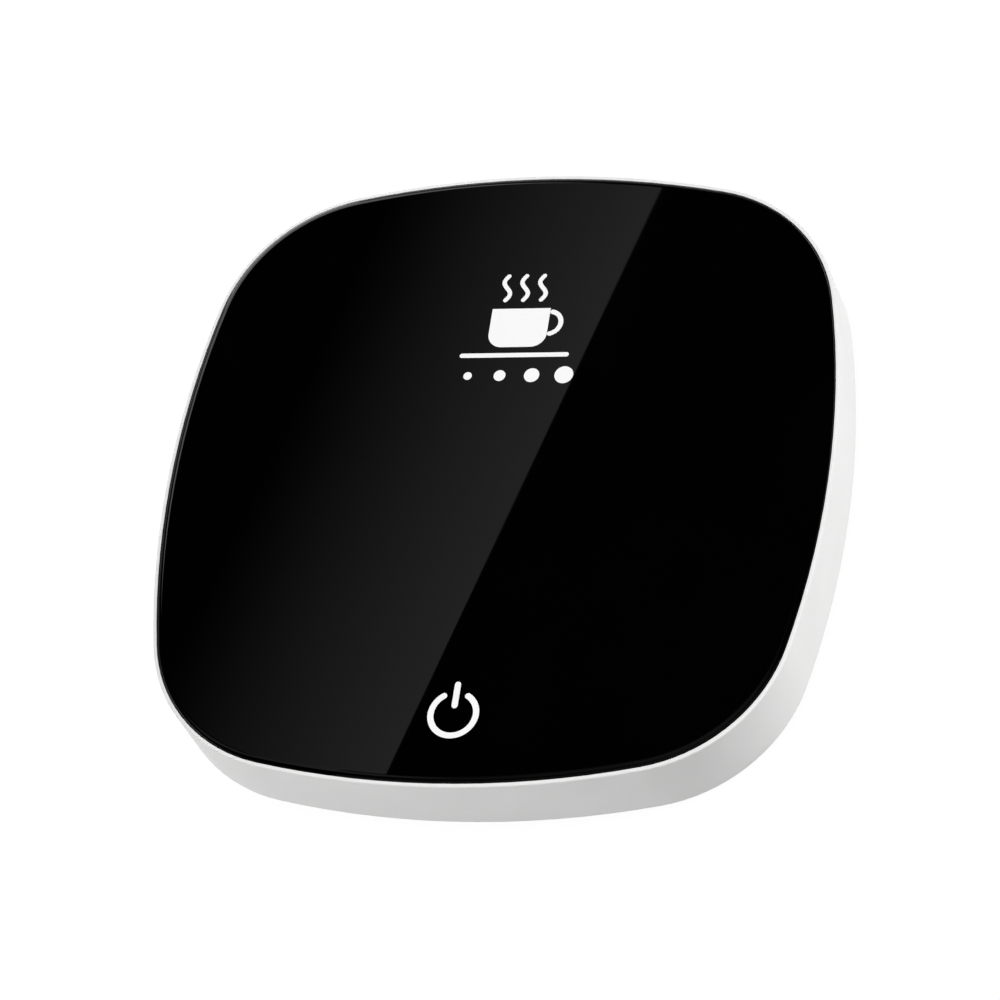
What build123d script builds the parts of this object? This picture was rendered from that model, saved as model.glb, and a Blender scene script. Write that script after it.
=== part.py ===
from build123d import *
import os
from math import atan2, cos, radians, sin, sqrt, tan

# Electric mug warmer: a low rounded-square casing with a black glass plate that carries the mug.
# The glass plate floats on four springs and sinks a little under a mug, which presses a switch.
# Millimetres. Origin: middle of the footprint, on the table. +Z up, -Y front, +Y power socket.

os.makedirs("parts", exist_ok=True)

# ---------------------------------------------------------------- driving dimensions
# Plan of the casing: four gently bulged sides and four corners, all arcs, tangent to each other.
CASE_HALF = 58.65
CORNER_R = 28.65
SIDE_R = 160.65

# Heights above the table.
SHELL_BOTTOM = 1.8
SHELL_TOP = 16.5
GLASS_TOP = 16.95
TRAVEL = 0.6  # how far the glass plate sinks under a mug

# Casing walls.
LIP = 0.65  # width of the rim that frames the glass
LIP_FOOT = 13.4  # height from which the wall thins to the rim
WALL_TOP = 1.7  # wall beside the floating plate, below the rim
WALL = 2.2  # wall below the deck
LIP_EDGE_R = 0.35
BOTTOM_EDGE_R = 2.0
DECK_T = 1.4
COVER_BOTTOM = 2.0
COVER_T = 1.8
COVER_GAP = 0.15
TONGUE_T = 1.2
TONGUE_H = 2.0

# Floating plate, from the glass downwards.
GLASS_GAP = 0.15
GLASS_T = 2.65
GLASS_EDGE_W = 0.31  # the ground edge: a steep facet this wide and
GLASS_EDGE_H = 0.47  # this deep, with
GLASS_BEVEL_W = 0.31  # a shallow bevel above it, this wide and
GLASS_BEVEL_H = 0.24  # this far down the steep facet,
GLASS_BEVEL_R = 1.5  # rounded into the flat top
GLUE_T = 0.2
TRAY_T = 1.1
SPREADER_T = 1.2
FILM_T = 0.4
TRACK_T = 0.1
FELT_T = 1.5
CLAMP_T = 0.6
DECK_GAP = 0.3  # room left under the tray when the plate is fully pressed

SPREADER_R = 36.0
FILM_R = 35.5
TRAY_HOLE_R = 36.6
DECK_HOLE_R = 37.2
STUD_RING_R = 33.2  # the four studs that hold the heater under the spreader
NOTCH_HALF = 19.8  # the rear notch in felt and clamp plate, for the leads
NOTCH_Y = 21.0

# Guide posts, springs and their cups.
POST_AT = 38.0
POST_R = 2.0
GUIDE_R = 2.1
CUP_R = 4.6
CUP_BORE_R = 3.5
CUP_FLOOR_T = 1.0
CUP_DEPTH = 3.2
SPRING_R = 2.75
WIRE_R = 0.25
SPRING_PITCH = 0.9

# Fasteners.
COVER_SCREW_X = 47.5
COVER_SCREW_Y = 16.0
BOSS_R = 3.2
BOSS_END = 4.4

# Feet.
FOOT_AT = 37.0
FOOT_R = 7.0
FOOT_SUNK = 0.8

# Control board.
BOARD_HALF = 26.0
BOARD_FRONT = -14.0
BOARD_REAR = 46.0
TAIL_HALF = 12.0
TAIL_END = 54.8
BOARD_BOTTOM = 5.0
BOARD_T = 1.2
BOARD_SCREWS = [(-22.5, -10.5), (22.5, -10.5), (-22.5, 36.0), (22.5, 42.5)]
CONNECTOR_FRONT = 40.4
HEATER_PLUG_X = -17.5
SENSOR_PLUG_X = 10.1

# Type-C power socket in the rear wall.
SOCKET_W = 8.94
SOCKET_H = 3.16
SOCKET_L = 7.3
SOCKET_WALL = 0.3
SOCKET_MOUTH = 57.7
SOCKET_CLEAR = 0.28
PLUG_RECESS_W = 12.4
PLUG_RECESS_H = 6.6
PLUG_RECESS_T = 0.9

# Indicator window, near the front edge.
WINDOW_Y = -45.0
GUIDE_W = 9.0
GUIDE_L = 11.6

# ---------------------------------------------------------------- heights worked out
GLASS_BOTTOM = GLASS_TOP - GLASS_T
TRAY_TOP = GLASS_BOTTOM - GLUE_T
TRAY_BOTTOM = TRAY_TOP - TRAY_T
DECK_TOP = TRAY_BOTTOM - TRAVEL - DECK_GAP
DECK_BOTTOM = DECK_TOP - DECK_T
CUP_FLOOR = DECK_TOP - CUP_DEPTH
CUP_END = CUP_FLOOR - CUP_FLOOR_T
POST_END = CUP_END - 0.05
SPREADER_BOTTOM = GLASS_BOTTOM - SPREADER_T
FILM_BOTTOM = SPREADER_BOTTOM - FILM_T
TRACK_BOTTOM = FILM_BOTTOM - TRACK_T
FELT_BOTTOM = TRACK_BOTTOM - FELT_T
CLAMP_BOTTOM = FELT_BOTTOM - CLAMP_T
COVER_TOP = COVER_BOTTOM + COVER_T
BOARD_TOP = BOARD_BOTTOM + BOARD_T
SOCKET_Z = BOARD_TOP + SOCKET_H / 2
CORNERS = [(-1, -1), (1, -1), (-1, 1), (1, 1)]
CORNER_NAMES = ["front_left", "front_right", "rear_left", "rear_right"]


# ---------------------------------------------------------------- helpers
def case_outline(grow=0.0, mode=Mode.ADD):
    """Fills the casing's outline, grown by `grow`, in the sketch that is open."""
    side_r = SIDE_R + grow
    corner_r = CORNER_R + grow
    side_c = CASE_HALF + grow - side_r  # centre of the right side's arc, on the X axis
    corner_c = (side_c + sqrt(2 * (side_r - corner_r) ** 2 - side_c**2)) / 2
    turn = atan2(corner_c, corner_c - side_c)  # where side and corner arcs meet
    meet = Vector(side_c + side_r * cos(turn), side_r * sin(turn))
    mid_corner = corner_c + corner_r * cos(radians(45))
    with BuildLine() as outline:
        for quarter in range(4):
            right = [(meet.X, -meet.Y), (side_c + side_r, 0), (meet.X, meet.Y)]
            corner = [(meet.X, meet.Y), (mid_corner, mid_corner), (meet.Y, meet.X)]
            for arc in (right, corner):
                ThreePointArc(*[Vector(*p).rotate(Axis.Z, 90 * quarter) for p in arc])
    make_face(outline.edges(), mode=mode)


def plan(height):
    """The horizontal plane at a height."""
    return Plane.XY.offset(height)


def drum(radius, bottom, top, places=((0, 0),), mode=Mode.ADD):
    """Upright cylinders between two heights, in the part that is open."""
    with BuildSketch(plan(bottom)) as discs:
        with Locations(*places):
            Circle(radius)
    extrude(discs.sketch, amount=top - bottom, mode=mode)


def slab(width, length, bottom, top, place=(0, 0), corner=0.0, mode=Mode.ADD):
    """An upright block between two heights, in the part that is open."""
    with BuildSketch(plan(bottom)) as block:
        with Locations(place):
            if corner:
                RectangleRounded(width, length, corner)
            else:
                Rectangle(width, length)
    extrude(block.sketch, amount=top - bottom, mode=mode)


def save(builder, name):
    """Labels a finished piece and writes its STEP file."""
    builder.part.label = name
    export_step(builder.part, f"parts/{name}.step")


def four(x, y=None):
    """The four places at plus and minus x and y."""
    return [(sx * x, sy * (x if y is None else y)) for sx, sy in CORNERS]


def pan_screws(places, head_r, head_h, seat, shank_r, shank_top, slot_w):
    """Screws driven upwards: a rounded pan head below `seat`, a shank up to `shank_top`."""
    drum(head_r, seat - head_h, seat, places)
    fillet(edges().group_by(Axis.Z)[0], head_h * 0.4)
    drum(shank_r, seat, shank_top, places)
    chamfer(edges().group_by(Axis.Z)[-1], shank_r * 0.4)
    with BuildSketch(plan(seat - head_h)) as cross:
        with Locations(*places):
            Rectangle(head_r * 1.2, slot_w)
            Rectangle(slot_w, head_r * 1.2)
    extrude(cross.sketch, amount=head_h * 0.55, mode=Mode.SUBTRACT)


def bend_radii(points):
    """The largest arc that each corner of a lead's route has room for."""
    radii = []
    for before, corner, after in zip(points, points[1:], points[2:]):
        run_in = Vector(*corner) - Vector(*before)
        run_out = Vector(*after) - Vector(*corner)
        half_turn = radians(run_in.get_angle(run_out)) / 2
        radii.append(0.45 * min(run_in.length, run_out.length) / tan(half_turn))
    return radii


def lead(points, radius):
    """A round insulated lead along a route of straight runs and tangent arcs."""
    with BuildLine() as route:
        FilletPolyline(*points, radius=bend_radii(points))
    with BuildSketch(Plane(origin=route.line @ 0, z_dir=route.line % 0)) as section:
        Circle(radius)
    sweep(section.sketch, path=route.line)


# ---------------------------------------------------------------- casing
# Outer shell: side wall, thin rim round the glass, and a deck that the plate floats over.
with BuildPart() as outer_shell:
    with BuildSketch(plan(SHELL_BOTTOM)):
        case_outline()
    extrude(amount=SHELL_TOP - SHELL_BOTTOM)
    fillet(faces().sort_by(Axis.Z)[-1].edges(), LIP_EDGE_R)
    fillet(faces().sort_by(Axis.Z)[0].edges(), BOTTOM_EDGE_R)
    with BuildSketch(plan(LIP_FOOT)):
        case_outline(-LIP)
    extrude(amount=SHELL_TOP - LIP_FOOT, mode=Mode.SUBTRACT)
    with BuildSketch(plan(DECK_TOP)):
        case_outline(-WALL_TOP)
    extrude(amount=LIP_FOOT - DECK_TOP, mode=Mode.SUBTRACT)
    with BuildSketch(plan(SHELL_BOTTOM)):
        case_outline(-WALL)
    extrude(amount=DECK_BOTTOM - SHELL_BOTTOM, mode=Mode.SUBTRACT)
    drum(DECK_HOLE_R, DECK_BOTTOM, DECK_TOP, mode=Mode.SUBTRACT)
    # Cups for the springs, with a guide bore in each floor.
    drum(CUP_R, CUP_END, DECK_BOTTOM, four(POST_AT))
    drum(CUP_BORE_R, CUP_FLOOR, DECK_TOP, four(POST_AT), mode=Mode.SUBTRACT)
    drum(GUIDE_R, CUP_END, CUP_FLOOR, four(POST_AT), mode=Mode.SUBTRACT)
    # Bosses for the base cover's screws.
    drum(BOSS_R, BOSS_END, DECK_BOTTOM, four(COVER_SCREW_X, COVER_SCREW_Y))
    drum(1.1, BOSS_END, 9.4, four(COVER_SCREW_X, COVER_SCREW_Y), mode=Mode.SUBTRACT)
    # Hole for the light guide.
    slab(GUIDE_W + 0.4, GUIDE_L + 0.4, DECK_BOTTOM, DECK_TOP, (0, WINDOW_Y), mode=Mode.SUBTRACT)
    # Socket slot in the rear wall, with a shallow recess for the plug's body.
    with BuildSketch(Plane.XZ.offset(-CASE_HALF - 1)):
        with Locations((0, SOCKET_Z)):
            SlotOverall(SOCKET_W + 2 * SOCKET_CLEAR, SOCKET_H + 2 * SOCKET_CLEAR)
    extrude(amount=WALL + 2, mode=Mode.SUBTRACT)
    with BuildSketch(Plane.XZ.offset(-CASE_HALF - 1)):
        with Locations((0, SOCKET_Z)):
            SlotOverall(PLUG_RECESS_W, PLUG_RECESS_H)
    extrude(amount=PLUG_RECESS_T + 1, mode=Mode.SUBTRACT)
save(outer_shell, "outer_shell")

# Base cover: closes the shell from below and carries feet, vents and the control board.
with BuildPart() as base_cover:
    with BuildSketch(plan(COVER_BOTTOM)):
        case_outline(-WALL - COVER_GAP)
    extrude(amount=COVER_T)
    chamfer(faces().sort_by(Axis.Z)[0].edges(), 0.3)
    with BuildSketch(plan(COVER_TOP)):
        case_outline(-WALL - COVER_GAP)
        case_outline(-WALL - COVER_GAP - TONGUE_T, mode=Mode.SUBTRACT)
    extrude(amount=TONGUE_H)
    # Raised seats for the screws, standoffs for the boards.
    drum(BOSS_R, COVER_TOP, BOSS_END, four(COVER_SCREW_X, COVER_SCREW_Y))
    drum(2.4, COVER_TOP, BOARD_BOTTOM, BOARD_SCREWS)
    drum(0.8, 3.0, BOARD_BOTTOM, BOARD_SCREWS, mode=Mode.SUBTRACT)
    slab(8.0, 3.0, COVER_TOP, BOARD_BOTTOM, (0, WINDOW_Y - 4.5))
    slab(8.0, 3.0, COVER_TOP, BOARD_BOTTOM, (0, WINDOW_Y + 4.5))
    # Counterbores that hide the screw heads, and pockets for the feet.
    drum(2.75, COVER_BOTTOM, 3.4, four(COVER_SCREW_X, COVER_SCREW_Y), mode=Mode.SUBTRACT)
    drum(1.35, 3.4, BOSS_END, four(COVER_SCREW_X, COVER_SCREW_Y), mode=Mode.SUBTRACT)
    drum(FOOT_R + 0.1, COVER_BOTTOM, SHELL_BOTTOM + 1.0, four(FOOT_AT), mode=Mode.SUBTRACT)
    # Vent slots, left and right, and a shallow bare panel in the middle.
    with BuildSketch(plan(COVER_BOTTOM)):
        with Locations((-33, 0), (33, 0)):
            with GridLocations(3.2, 0, 6, 1):
                SlotOverall(13.0, 1.5, rotation=90)
    extrude(amount=COVER_T, mode=Mode.SUBTRACT)
    slab(40.0, 24.0, COVER_BOTTOM, COVER_BOTTOM + 0.3, (0, 2), corner=2.0, mode=Mode.SUBTRACT)
save(base_cover, "base_cover")

with BuildPart() as cover_screws:
    pan_screws(four(COVER_SCREW_X, COVER_SCREW_Y), 2.35, 1.25, 3.4, 1.05, 9.2, 0.55)
save(cover_screws, "cover_screws")

for name, (x, y) in zip(CORNER_NAMES, four(FOOT_AT)):
    with BuildPart() as foot:
        drum(FOOT_R, 0, SHELL_BOTTOM + 1.0, [(x, y)])
        fillet(edges().group_by(Axis.Z)[0], 0.6)
        drum(FOOT_R - 2.2, 0, 0.35, [(x, y)], mode=Mode.SUBTRACT)
    save(foot, f"foot_{name}")

# ---------------------------------------------------------------- floating plate
with BuildPart() as glass_panel:
    with BuildSketch(plan(GLASS_BOTTOM)):
        case_outline(-LIP - GLASS_GAP)
    extrude(amount=GLASS_T)
    for width, height in ((GLASS_EDGE_W, GLASS_EDGE_H), (GLASS_BEVEL_W, GLASS_BEVEL_H)):
        top_face = faces().sort_by(Axis.Z)[-1]
        chamfer(top_face.edges(), length=width, length2=height, reference=top_face)
    fillet(faces().sort_by(Axis.Z)[-1].edges(), GLASS_BEVEL_R)
    chamfer(faces().sort_by(Axis.Z)[0].edges(), 0.25)
save(glass_panel, "glass_panel")

with BuildPart() as glass_adhesive:
    with BuildSketch(plan(TRAY_TOP)):
        case_outline(-WALL - 1.2)
        case_outline(-WALL - 3.4, mode=Mode.SUBTRACT)
    extrude(amount=GLUE_T)
save(glass_adhesive, "glass_adhesive")

# Carrier tray: the frame that the glass is glued to, with its four guide posts.
with BuildPart() as carrier_tray:
    with BuildSketch(plan(TRAY_BOTTOM)):
        case_outline(-WALL)
        Circle(TRAY_HOLE_R, mode=Mode.SUBTRACT)
        with Locations((0, WINDOW_Y)):
            RectangleRounded(GUIDE_W + 1.6, GUIDE_L + 1.4, 0.6, mode=Mode.SUBTRACT)
    extrude(amount=TRAY_T)
    drum(POST_R, POST_END, TRAY_BOTTOM, four(POST_AT))
    drum(0.8, POST_END, TRAY_BOTTOM - 0.8, four(POST_AT), mode=Mode.SUBTRACT)
save(carrier_tray, "carrier_tray")

STUDS = [(STUD_RING_R * cos(radians(a)), STUD_RING_R * sin(radians(a))) for a in (45, 135, 225, 315)]

with BuildPart() as heat_spreader:
    drum(SPREADER_R, SPREADER_BOTTOM, GLASS_BOTTOM)
    drum(2.4, FELT_BOTTOM, SPREADER_BOTTOM, STUDS)
    drum(1.0, FELT_BOTTOM, SPREADER_BOTTOM, STUDS, mode=Mode.SUBTRACT)
save(heat_spreader, "heat_spreader")

with BuildPart() as heater_film:
    drum(FILM_R, FILM_BOTTOM, SPREADER_BOTTOM)
    drum(2.7, FILM_BOTTOM, SPREADER_BOTTOM, STUDS, mode=Mode.SUBTRACT)
save(heater_film, "heater_film")

# Heater track: foil half rings on each side, joined in a zigzag from one pad to the other.
TRACK_W = 1.6
TRACK_STEP = 3.0
TRACK_OUTER = 30.0
TRACK_RINGS = 7
TRACK_SPLIT = 1.2  # half the gap between the left and right half rings
with BuildPart() as heater_track:
    with BuildSketch(plan(TRACK_BOTTOM)):
        for ring in range(TRACK_RINGS):
            outer = TRACK_OUTER - ring * TRACK_STEP
            with BuildSketch(mode=Mode.ADD):
                Circle(outer)
                Circle(outer - TRACK_W, mode=Mode.SUBTRACT)
                Rectangle(2 * TRACK_SPLIT, 80, mode=Mode.SUBTRACT)
        for ring in range(TRACK_RINGS - 1):
            outer = TRACK_OUTER - ring * TRACK_STEP
            y = (outer - TRACK_STEP / 2 - TRACK_W / 2) * (-1 if ring % 2 == 0 else 1)
            with Locations((-TRACK_SPLIT - TRACK_W / 2, y), (TRACK_SPLIT + TRACK_W / 2, y)):
                Rectangle(TRACK_W, TRACK_STEP + TRACK_W - 0.2)
        inner = TRACK_OUTER - (TRACK_RINGS - 1) * TRACK_STEP - TRACK_W / 2
        with Locations((0, -inner)):
            Rectangle(4 * TRACK_SPLIT, TRACK_W - 0.1)
        with Locations((-3.7, 31.0), (3.7, 31.0)):
            RectangleRounded(5.0, 4.6, 0.5)
    extrude(amount=TRACK_T)
save(heater_track, "heater_track")

with BuildPart() as insulation_felt:
    with BuildSketch(plan(FELT_BOTTOM)):
        Circle(FILM_R)
        with Locations(*STUDS):
            Circle(2.8, mode=Mode.SUBTRACT)
        with Locations((0, NOTCH_Y + 10)):
            Rectangle(2 * NOTCH_HALF, 20, mode=Mode.SUBTRACT)
        # Pocket for the thermistor, and the channel for its leads.
        with Locations((SENSOR_PLUG_X, 0)):
            RectangleRounded(7.0, 8.0, 1.0, mode=Mode.SUBTRACT)
        with Locations((SENSOR_PLUG_X, 12)):
            Rectangle(3.4, 20, mode=Mode.SUBTRACT)
    extrude(amount=FELT_T)
save(insulation_felt, "insulation_felt")

# Clamp plate: holds felt and film against the spreader, and its dimple works the switch.
DIMPLE_R = 3.0
STEM_TOP = BOARD_TOP + 3.0
with BuildPart() as clamp_plate:
    with BuildSketch(plan(CLAMP_BOTTOM)):
        Circle(FILM_R)
        with Locations(*STUDS):
            Circle(1.35, mode=Mode.SUBTRACT)
        with Locations((0, NOTCH_Y + 10)):
            Rectangle(2 * NOTCH_HALF, 20, mode=Mode.SUBTRACT)
        with PolarLocations(17.0, 4, start_angle=45):
            SlotOverall(20.0, 7.0, rotation=90, mode=Mode.SUBTRACT)
    extrude(amount=CLAMP_T)
    drum(DIMPLE_R, STEM_TOP + 0.02, CLAMP_BOTTOM)
    fillet(edges().group_by(Axis.Z)[0], 0.4)
save(clamp_plate, "clamp_plate")

with BuildPart() as clamp_screws:
    pan_screws(STUDS, 2.1, 1.1, CLAMP_BOTTOM, 0.95, SPREADER_BOTTOM - 0.2, 0.5)
save(clamp_screws, "clamp_screws")

# Washers and screws under the guide posts, which stop the plate at the top of its travel.
WASHER_T = 0.5
with BuildPart() as post_washers:
    drum(3.6, POST_END - WASHER_T, POST_END, four(POST_AT))
    drum(0.9, POST_END - WASHER_T, POST_END, four(POST_AT), mode=Mode.SUBTRACT)
save(post_washers, "post_washers")

with BuildPart() as post_screws:
    pan_screws(four(POST_AT), 1.9, 1.1, POST_END - WASHER_T, 0.75, TRAY_BOTTOM - 1.4, 0.45)
save(post_screws, "post_screws")

for name, (x, y) in zip(CORNER_NAMES, four(POST_AT)):
    with BuildPart() as spring:
        height = TRAY_BOTTOM - CUP_FLOOR - 2 * WIRE_R - 0.1
        with BuildLine() as coil:
            Helix(SPRING_PITCH, height, SPRING_R, center=(x, y, CUP_FLOOR + WIRE_R + 0.05))
        with BuildSketch(Plane(origin=coil.line @ 0, z_dir=coil.line % 0)):
            Circle(WIRE_R)
        sweep(path=coil.line, is_frenet=True)
    save(spring, f"spring_{name}")

# Thermistor in its felt pocket.
BEAD_Z = TRACK_BOTTOM - 0.7
with BuildPart() as thermistor:
    with BuildSketch(Plane((SENSOR_PLUG_X, -1.5, BEAD_Z), x_dir=(1, 0, 0), z_dir=(0, 1, 0))):
        SlotOverall(2.6, 1.4)
    extrude(amount=4.0)
    fillet(faces().sort_by(Axis.Y)[0].edges(), 0.5)
save(thermistor, "thermistor")

# Thermal fuse: a flat chip with two tabs, one soldered to the left pad of the track.
FUSE_Y = 30.3
with BuildPart() as thermal_fuse:
    slab(7.4, 3.4, TRACK_BOTTOM - 1.2, TRACK_BOTTOM, (-10.9, FUSE_Y), corner=0.6)
    slab(12.6, 1.0, TRACK_BOTTOM - 0.5, TRACK_BOTTOM - 0.2, (-10.3, FUSE_Y))
    slab(2.0, 1.0, TRACK_BOTTOM - 0.5, TRACK_BOTTOM, (-5.0, FUSE_Y))
save(thermal_fuse, "thermal_fuse")

# ---------------------------------------------------------------- leads between plate and board
HEATER_LEAD_R = 0.65
LIVE_ROUTE = [
    (-16.62, FUSE_Y, TRACK_BOTTOM - 0.8),
    (-18.0, FUSE_Y, TRACK_BOTTOM - 0.9),
    (-18.9, 30.7, 10.2),
    (-19.5, 33.4, 8.6),
    (-19.4, 36.6, 7.9),
    (-19.4, CONNECTOR_FRONT, 7.9),
]
with BuildPart() as heater_lead_live:
    lead(LIVE_ROUTE, HEATER_LEAD_R)
save(heater_lead_live, "heater_lead_live")

RETURN_ROUTE = [
    (4.0, 30.0, TRACK_BOTTOM - HEATER_LEAD_R - 0.02),
    (4.0, 32.4, TRACK_BOTTOM - HEATER_LEAD_R - 0.02),
    (3.5, 34.2, 9.8),
    (0.8, 36.0, 8.2),
    (-4.0, 36.9, 7.7),
    (-9.0, 36.6, 7.6),
    (-13.2, 35.4, 7.7),
    (-15.6, 37.0, 7.9),
    (-15.6, CONNECTOR_FRONT, 7.9),
]
with BuildPart() as heater_lead_return:
    lead(RETURN_ROUTE, HEATER_LEAD_R)
save(heater_lead_return, "heater_lead_return")

SENSOR_LEAD_R = 0.4
with BuildPart() as sensor_leads:
    for x in (SENSOR_PLUG_X - 0.6, SENSOR_PLUG_X + 0.6):
        lead(
            [
                (x, 2.52, BEAD_Z),
                (x, 17.0, BEAD_Z - 0.15),
                (x, 31.4, BEAD_Z - 0.1),
                (x, 35.0, 8.7),
                (x, 37.8, 7.6),
                (x, CONNECTOR_FRONT, 7.6),
            ],
            SENSOR_LEAD_R,
        )
save(sensor_leads, "sensor_leads")

# ---------------------------------------------------------------- control board and its parts
with BuildPart() as control_board:
    with BuildSketch(plan(BOARD_BOTTOM)):
        with Locations((0, (BOARD_FRONT + BOARD_REAR) / 2)):
            RectangleRounded(2 * BOARD_HALF, BOARD_REAR - BOARD_FRONT, 2.0)
        with Locations((0, (BOARD_REAR + TAIL_END) / 2 - 2)):
            RectangleRounded(2 * TAIL_HALF, TAIL_END - BOARD_REAR + 4, 1.0)
        with Locations(*BOARD_SCREWS):
            Circle(1.05, mode=Mode.SUBTRACT)
    extrude(amount=BOARD_T)
save(control_board, "control_board")

with BuildPart() as board_screws:
    drum(1.8, BOARD_TOP, BOARD_TOP + 1.1, BOARD_SCREWS)
    fillet(edges().group_by(Axis.Z)[-1], 0.4)
    drum(0.75, 3.2, BOARD_TOP, BOARD_SCREWS)
    with BuildSketch(plan(BOARD_TOP + 1.1)):
        with Locations(*BOARD_SCREWS):
            Rectangle(2.2, 0.45)
            Rectangle(0.45, 2.2)
    extrude(amount=-0.6, mode=Mode.SUBTRACT)
save(board_screws, "board_screws")

# Type-C socket: steel shell, tongue and contacts, opening through the rear wall.
REAR = Plane(origin=(0, SOCKET_MOUTH, SOCKET_Z), x_dir=(1, 0, 0), z_dir=(0, -1, 0))
with BuildPart() as socket_shell:
    with BuildSketch(REAR):
        SlotOverall(SOCKET_W, SOCKET_H)
    extrude(amount=SOCKET_L)
    with BuildSketch(REAR):
        SlotOverall(SOCKET_W - 2 * SOCKET_WALL, SOCKET_H - 2 * SOCKET_WALL)
    extrude(amount=SOCKET_L - 1.0, mode=Mode.SUBTRACT)
save(socket_shell, "socket_shell")

TONGUE_BACK = SOCKET_MOUTH - SOCKET_L + 1.0
with BuildPart() as socket_tongue:
    with BuildSketch(Plane(origin=(0, TONGUE_BACK, SOCKET_Z), x_dir=(1, 0, 0), z_dir=(0, 1, 0))):
        SlotOverall(SOCKET_W - 2 * SOCKET_WALL - 0.1, SOCKET_H - 2 * SOCKET_WALL - 0.1)
    extrude(amount=1.2)
    with BuildSketch(Plane(origin=(0, TONGUE_BACK, SOCKET_Z), x_dir=(1, 0, 0), z_dir=(0, 1, 0))):
        RectangleRounded(6.6, 0.7, 0.3)
    extrude(amount=SOCKET_L - 1.7)
save(socket_tongue, "socket_tongue")

with BuildPart() as socket_contacts:
    with BuildSketch(plan(SOCKET_Z + 0.35)):
        with Locations((0, TONGUE_BACK + 3.2)):
            with GridLocations(0.5, 0, 12, 1):
                Rectangle(0.28, 3.6)
    extrude(amount=0.08)
    mirror(about=plan(SOCKET_Z))
save(socket_contacts, "socket_contacts")

# Long-stroke push switch under the clamp plate's dimple.
SWITCH_HALF = 3.1
SWITCH_H = 2.2
STEM_R = 1.6
with BuildPart() as switch_base:
    slab(2 * SWITCH_HALF, 2 * SWITCH_HALF, BOARD_TOP, BOARD_TOP + SWITCH_H - 0.25, corner=0.4)
    drum(2.5, BOARD_TOP + 0.5, BOARD_TOP + SWITCH_H - 0.25, mode=Mode.SUBTRACT)
    drum(1.8, BOARD_TOP + 0.2, BOARD_TOP + 0.5, mode=Mode.SUBTRACT)
    # Four solder legs.
    with BuildSketch(plan(BOARD_TOP)):
        with Locations(*four(SWITCH_HALF + 0.45, 2.2)):
            Rectangle(0.9, 0.7)
    extrude(amount=0.25)
save(switch_base, "switch_base")

with BuildPart() as switch_cover:
    slab(6.0, 6.0, BOARD_TOP + SWITCH_H - 0.25, BOARD_TOP + SWITCH_H, corner=0.4)
    drum(STEM_R + 0.12, BOARD_TOP + SWITCH_H - 0.25, BOARD_TOP + SWITCH_H, mode=Mode.SUBTRACT)
save(switch_cover, "switch_cover")

with BuildPart() as switch_stem:
    drum(STEM_R, BOARD_TOP + 1.2, STEM_TOP)
    drum(2.25, BOARD_TOP + 1.2, BOARD_TOP + SWITCH_H - 0.3)
    fillet(edges().group_by(Axis.Z)[-1], 0.2)
save(switch_stem, "switch_stem")

# Domed snap spring under the stem.
with BuildPart() as switch_dome:
    with BuildSketch(Plane.XZ):
        with BuildLine():
            for crown in (BOARD_TOP + 1.05, BOARD_TOP + 1.15):
                ThreePointArc((0, crown), (1.2, crown - 0.13), (2.3, crown - 0.5))
            Line((0, BOARD_TOP + 1.05), (0, BOARD_TOP + 1.15))
            Line((2.3, BOARD_TOP + 0.55), (2.3, BOARD_TOP + 0.65))
        make_face()
    revolve(axis=Axis.Z)
save(switch_dome, "switch_dome")

with BuildPart() as controller_chip:
    slab(4.9, 3.9, BOARD_TOP + 0.1, BOARD_TOP + 1.5, (-10, 14), corner=0.1)
    with BuildSketch(plan(BOARD_TOP)):
        with Locations((-10, 14)):
            with GridLocations(1.27, 5.0, 4, 2):
                Rectangle(0.42, 1.1)
    extrude(amount=0.2)
save(controller_chip, "controller_chip")

with BuildPart() as power_transistor:
    slab(6.5, 6.1, BOARD_TOP + 0.1, BOARD_TOP + 1.6, (-16, 26), corner=0.15)
    slab(5.4, 2.0, BOARD_TOP, BOARD_TOP + 0.5, (-16, 30))
    with BuildSketch(plan(BOARD_TOP)):
        with Locations((-16, 22.2)):
            with GridLocations(2.28, 0, 3, 1):
                Rectangle(0.8, 2.4)
    extrude(amount=0.5)
save(power_transistor, "power_transistor")

with BuildPart() as chip_capacitors:
    with BuildSketch(plan(BOARD_TOP)):
        with Locations((14, 8), (14, 11.5), (14, 15), (-4, 22), (-4, 26), (6, 47)):
            Rectangle(3.2, 1.6)
    extrude(amount=1.2)
save(chip_capacitors, "chip_capacitors")

with BuildPart() as chip_resistors:
    with BuildSketch(plan(BOARD_TOP)):
        with Locations((-15, -4)):
            with GridLocations(3.0, 3.0, 3, 2):
                Rectangle(2.0, 1.25)
        with Locations((15, -4)):
            with GridLocations(3.0, 3.0, 2, 2):
                Rectangle(2.0, 1.25)
        with Locations((-9, 48), (-9, 51)):
            Rectangle(2.0, 1.25)
    extrude(amount=0.55)
save(chip_resistors, "chip_resistors")


def board_connector(x, width, name):
    """A low wire-to-board connector, its lead entries facing the front."""
    with BuildPart() as housing:
        slab(width, 5.0, BOARD_TOP, BOARD_TOP + 3.2, (x, CONNECTOR_FRONT + 2.5), corner=0.3)
        ledge = (x, CONNECTOR_FRONT + 4.4)
        slab(width - 1.6, 1.2, BOARD_TOP + 2.4, BOARD_TOP + 3.2, ledge, mode=Mode.SUBTRACT)
    save(housing, name)


board_connector(HEATER_PLUG_X, 8.0, "heater_connector")
board_connector(SENSOR_PLUG_X, 5.0, "sensor_connector")

# ---------------------------------------------------------------- indicator light
with BuildPart() as indicator_board:
    slab(10.0, 13.0, BOARD_BOTTOM, BOARD_BOTTOM + 1.0, (0, WINDOW_Y), corner=0.8)
save(indicator_board, "indicator_board")

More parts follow.
